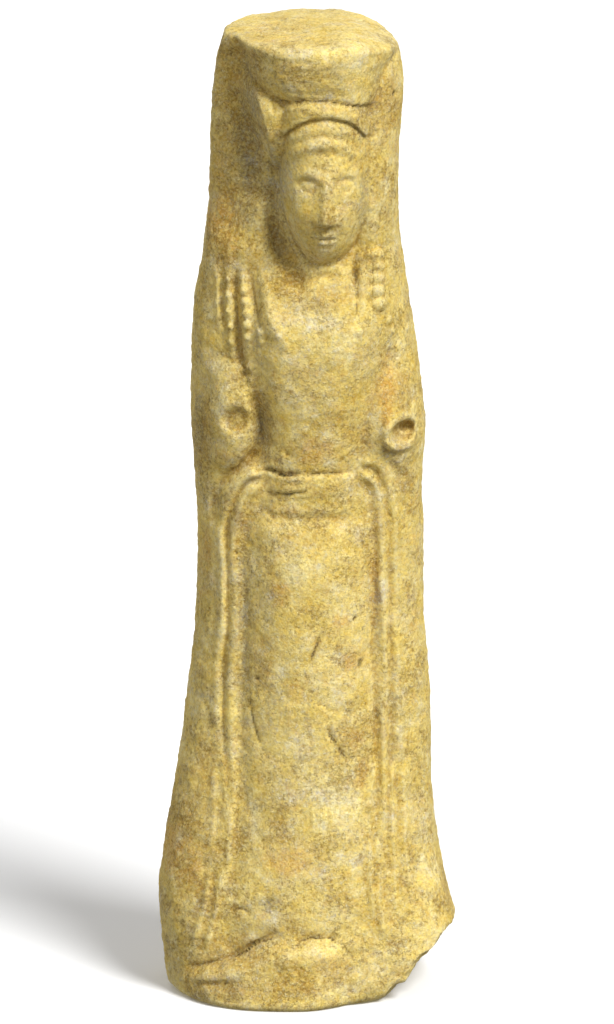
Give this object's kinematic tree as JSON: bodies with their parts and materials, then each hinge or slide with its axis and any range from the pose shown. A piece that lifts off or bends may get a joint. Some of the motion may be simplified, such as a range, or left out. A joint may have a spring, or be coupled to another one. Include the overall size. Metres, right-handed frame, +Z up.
{
  "type": "goddess figurine",
  "caption": "Standing draped goddess figurine in moulded terracotta, with a tall crown, veil, beaded tresses, girdled dress, flat underside and a broken lower corner.",
  "frame": {"origin": "middle of the footprint box, on the plane that the figurine stands on", "axes": "+Z up along the figure, -Y the way that it faces, +X the viewer's right when facing it"},
  "size_m": [0.0604, 0.0402, 0.2],
  "materials": {
    "clay": null
  },
  "bodies": {
    "root": {"figurine": "clay"}
  },
  "joints": []
}
